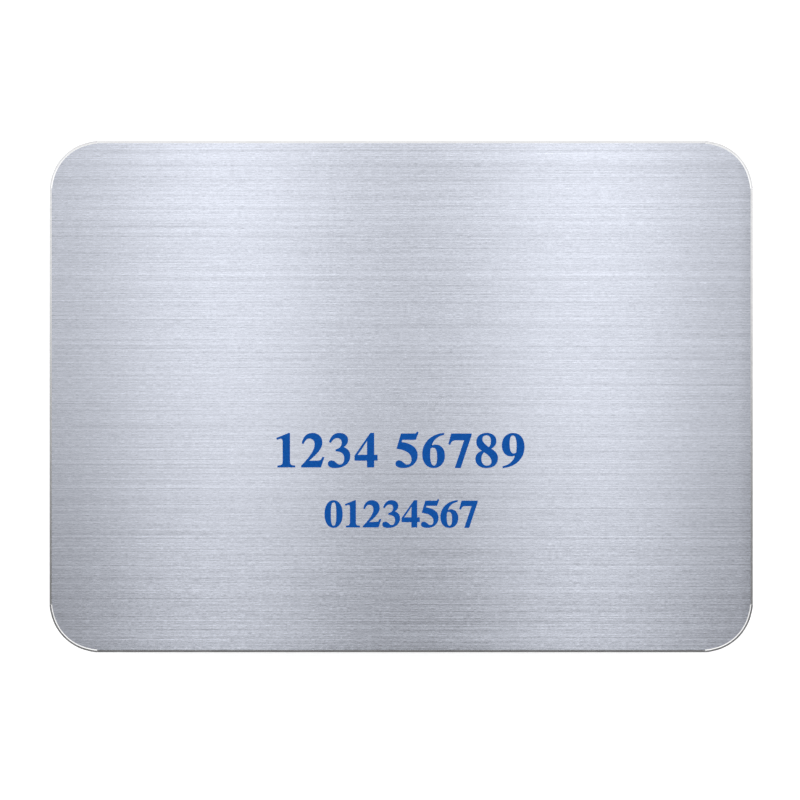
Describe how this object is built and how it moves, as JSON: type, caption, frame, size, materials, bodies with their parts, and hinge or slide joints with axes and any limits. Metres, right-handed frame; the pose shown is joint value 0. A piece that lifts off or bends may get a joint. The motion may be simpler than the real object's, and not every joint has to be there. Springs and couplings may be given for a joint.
{
  "type": "name badge",
  "caption": "Rectangular metal name badge with rounded corners, a brushed face for a printed name, and a magnet bar on its back.",
  "frame": {"origin": "middle of the magnet bar's flat foot, which is the badge's lowest face as it lies on its back", "axes": "+X along the badge's long side to the reader's right, +Y from its lower edge to its upper edge, +Z out of its face"},
  "size_m": [0.0698, 0.0508, 0.006],
  "materials": {
    "brushed_aluminium": "long straight brushing along the long side, with a polished rounded edge",
    "nickel_plate": "satin nickel plating",
    "blue_print": "opaque printed ink, slightly raised"
  },
  "bodies": {
    "root": {"face_plate": "brushed_aluminium", "magnet_bar": "nickel_plate"}
  },
  "joints": []
}
